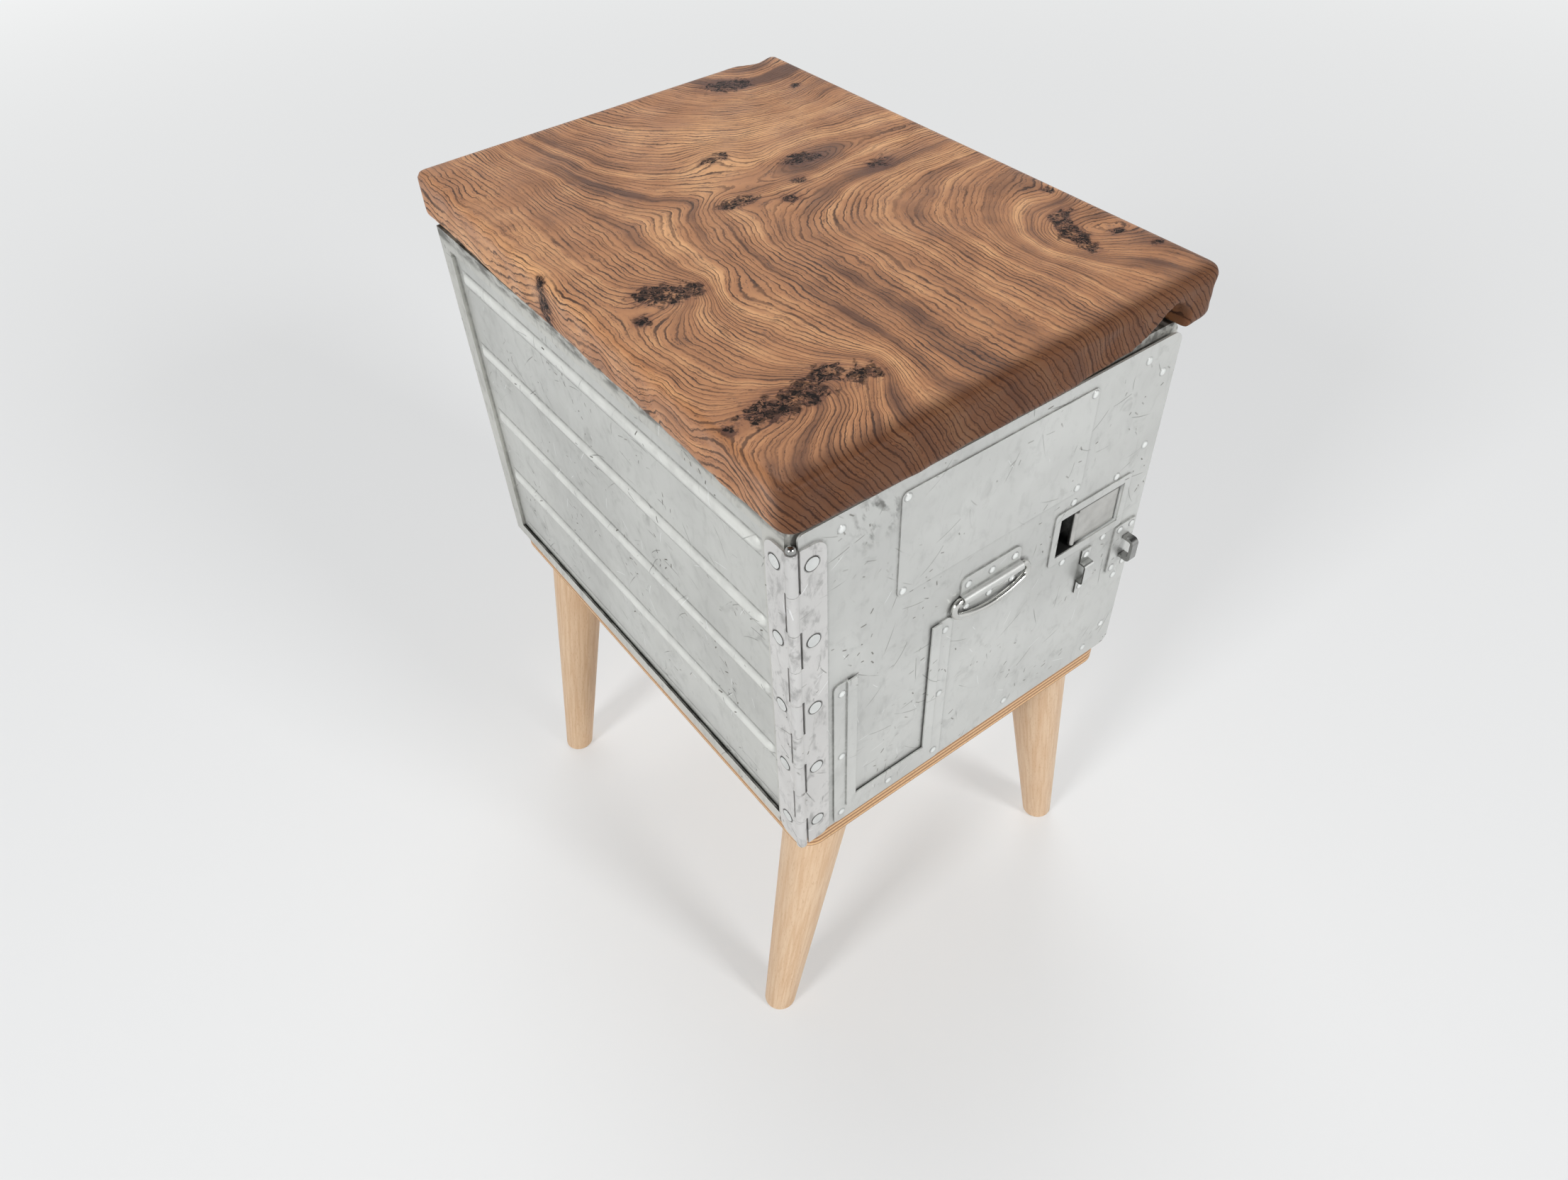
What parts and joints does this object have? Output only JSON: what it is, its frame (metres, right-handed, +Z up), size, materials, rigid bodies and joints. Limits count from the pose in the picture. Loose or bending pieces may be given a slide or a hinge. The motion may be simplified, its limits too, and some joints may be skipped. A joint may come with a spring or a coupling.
{
  "type": "side table",
  "caption": "Side table: a riveted aluminium galley box with a hinged latching door, under a live-edge burr slab, on a plywood board with splayed tapered legs.",
  "frame": {"origin": "on the floor, in the middle of the bounding box", "axes": "+Z up, the door faces -Y, its hinge at -X"},
  "size_m": [0.3369, 0.445, 0.595],
  "materials": {
    "burr_elm": "satin oiled burr elm",
    "box_aluminium": "worn mill finish",
    "bright_steel": "worn bright steel",
    "zinc_steel": "zinc plated",
    "black_coat": "matt black coat",
    "plywood": "clear varnish, bare edges",
    "leg_beech": "satin clear varnish"
  },
  "bodies": {
    "cabinet": {"mouth_frame": "box_aluminium", "side_panel_left": "box_aluminium", "side_panel_right": "box_aluminium", "top_panel": "black_coat", "bottom_panel": "box_aluminium", "back_panel": "box_aluminium", "top_rail_left": "box_aluminium", "top_rail_right": "box_aluminium", "top_rail_rear": "box_aluminium", "bottom_rail_left": "box_aluminium", "bottom_rail_right": "box_aluminium", "bottom_rail_rear": "box_aluminium", "rear_post_left": "box_aluminium", "rear_post_right": "box_aluminium", "hinge_body_leaf": "box_aluminium", "hinge_body_rivets": "box_aluminium", "hinge_pin": "bright_steel", "base_board": "plywood", "base_screws": "zinc_steel", "leg_front_left": "leg_beech", "leg_front_right": "leg_beech", "leg_rear_left": "leg_beech", "leg_rear_right": "leg_beech", "leg_bolts": "zinc_steel", "leg_inserts": "zinc_steel", "slab_top": "burr_elm", "slab_screws": "zinc_steel"},
    "door": {"door_skin": "box_aluminium", "door_pan": "box_aluminium", "door_rivets": "box_aluminium", "hinge_door_leaf": "box_aluminium", "hinge_door_rivets": "box_aluminium", "label_plate": "box_aluminium", "label_rivets": "box_aluminium", "card_holder": "box_aluminium", "card_holder_rivets": "box_aluminium", "handle_plate": "bright_steel", "handle_rivets": "box_aluminium", "latch_bezel": "bright_steel", "latch_dish": "bright_steel", "latch_rivets": "box_aluminium", "latch_pin": "bright_steel", "latch_guide": "bright_steel", "latch_spring": "bright_steel", "seal_clip": "bright_steel", "seal_clip_rivets": "box_aluminium", "staple_plate": "bright_steel", "staple_loop": "bright_steel", "staple_rivets": "box_aluminium"},
    "bail": {"handle_bail": "bright_steel"},
    "paddle": {"latch_paddle": "bright_steel"},
    "bolt": {"latch_bolt": "bright_steel"}
  },
  "joints": [
    {"name": "door_hinge", "type": "hinge", "parent": "cabinet", "child": "door", "pos_m": [-0.148, -0.21, 0.411], "axis": [0, 0, -1], "range_deg": [0, 180]},
    {"name": "bail_hinge", "type": "hinge", "parent": "door", "child": "bail", "pos_m": [0.0035, -0.21335, 0.4325], "axis": [-1, 0, 0], "range_deg": [0, 160]},
    {"name": "paddle_hinge", "type": "hinge", "parent": "door", "child": "paddle", "pos_m": [0.1212, -0.2068, 0.4315], "axis": [0, 0, 1], "range_deg": [0, 40], "stiffness_Nm_per_rad": 0.08, "springref_deg": -11.46},
    {"name": "bolt_slide", "type": "slide", "parent": "door", "child": "bolt", "axis": [1, 0, 0], "range_m": [-0.004, 0], "deforming": ["latch_spring"]}
  ],
  "couplings": [
    {"joint": "bolt_slide", "follows": "paddle_hinge", "m_per_rad": -0.0055}
  ]
}
